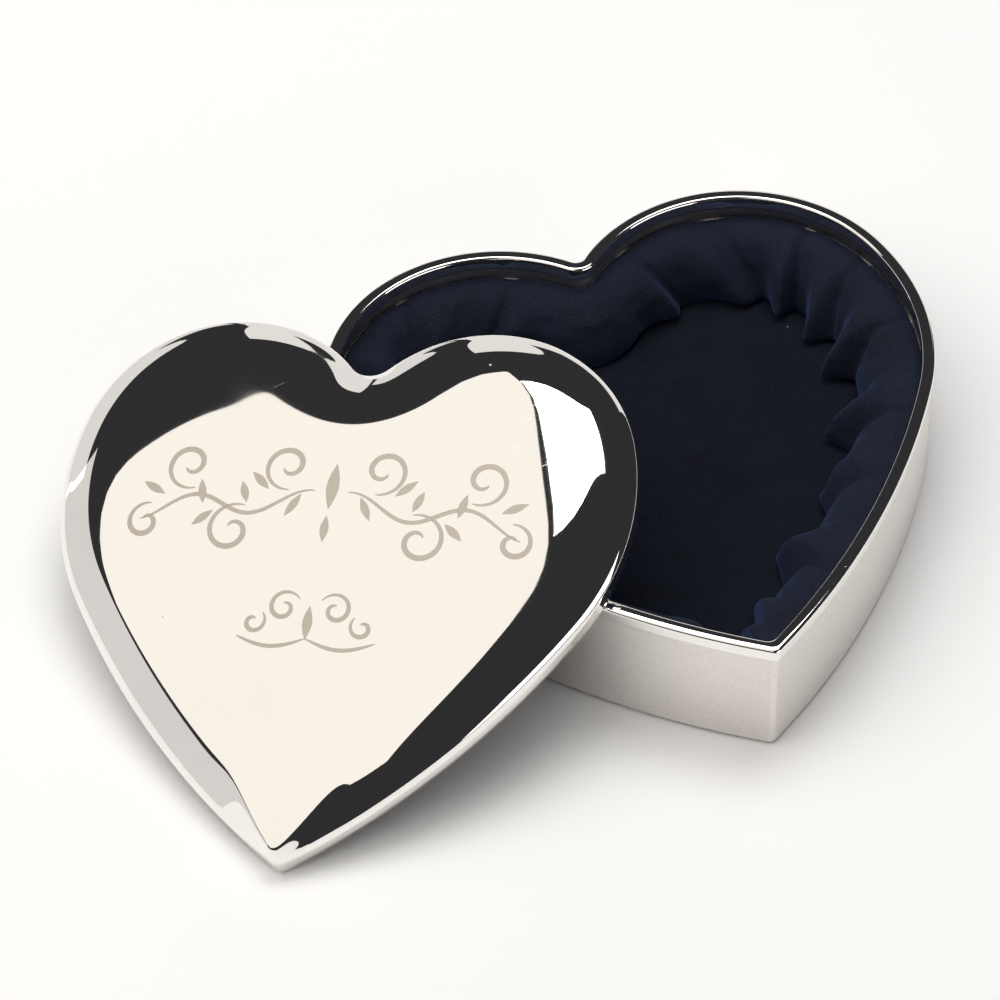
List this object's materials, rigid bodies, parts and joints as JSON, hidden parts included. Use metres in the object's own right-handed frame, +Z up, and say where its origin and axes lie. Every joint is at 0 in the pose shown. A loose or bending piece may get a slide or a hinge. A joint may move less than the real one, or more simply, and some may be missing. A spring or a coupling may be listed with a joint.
{
  "type": "heart-shaped trinket box",
  "caption": "Open heart-shaped metal trinket box with a gathered velvet lining, and its loose domed lid leaning on the rim.",
  "frame": {"origin": "centre of the box's base on the table, halfway along the heart's length", "axes": "+Z up, -Y towards the tip of the box's heart, +X to the right when the tip points at the viewer"},
  "size_m": [0.1342, 0.0904, 0.0372],
  "materials": {
    "satin_nickel": "satin nickel plate, finely brushed",
    "polished_nickel": "mirror-polished nickel plate",
    "velvet": "navy short-pile velvet",
    "felt": "dark pressed felt",
    "card": "plain grey card",
    "foam": "soft upholstery foam"
  },
  "bodies": {
    "box": {"box_wall": "satin_nickel", "box_rim": "polished_nickel", "base_plate": "satin_nickel", "base_pad": "felt", "lining_card": "card", "side_velvet": "velvet", "floor_card": "card", "floor_foam": "foam", "floor_velvet": "velvet"},
    "lid": {"lid_shell": "polished_nickel", "lid_hem": "polished_nickel", "lid_velvet": "velvet", "lid_foam": "foam", "lid_card": "card"}
  },
  "joints": [
    {"name": "lid_lift", "type": "slide", "parent": "box", "child": "lid", "axis": [0, 0, 1], "range_m": [0, 0.06]}
  ]
}
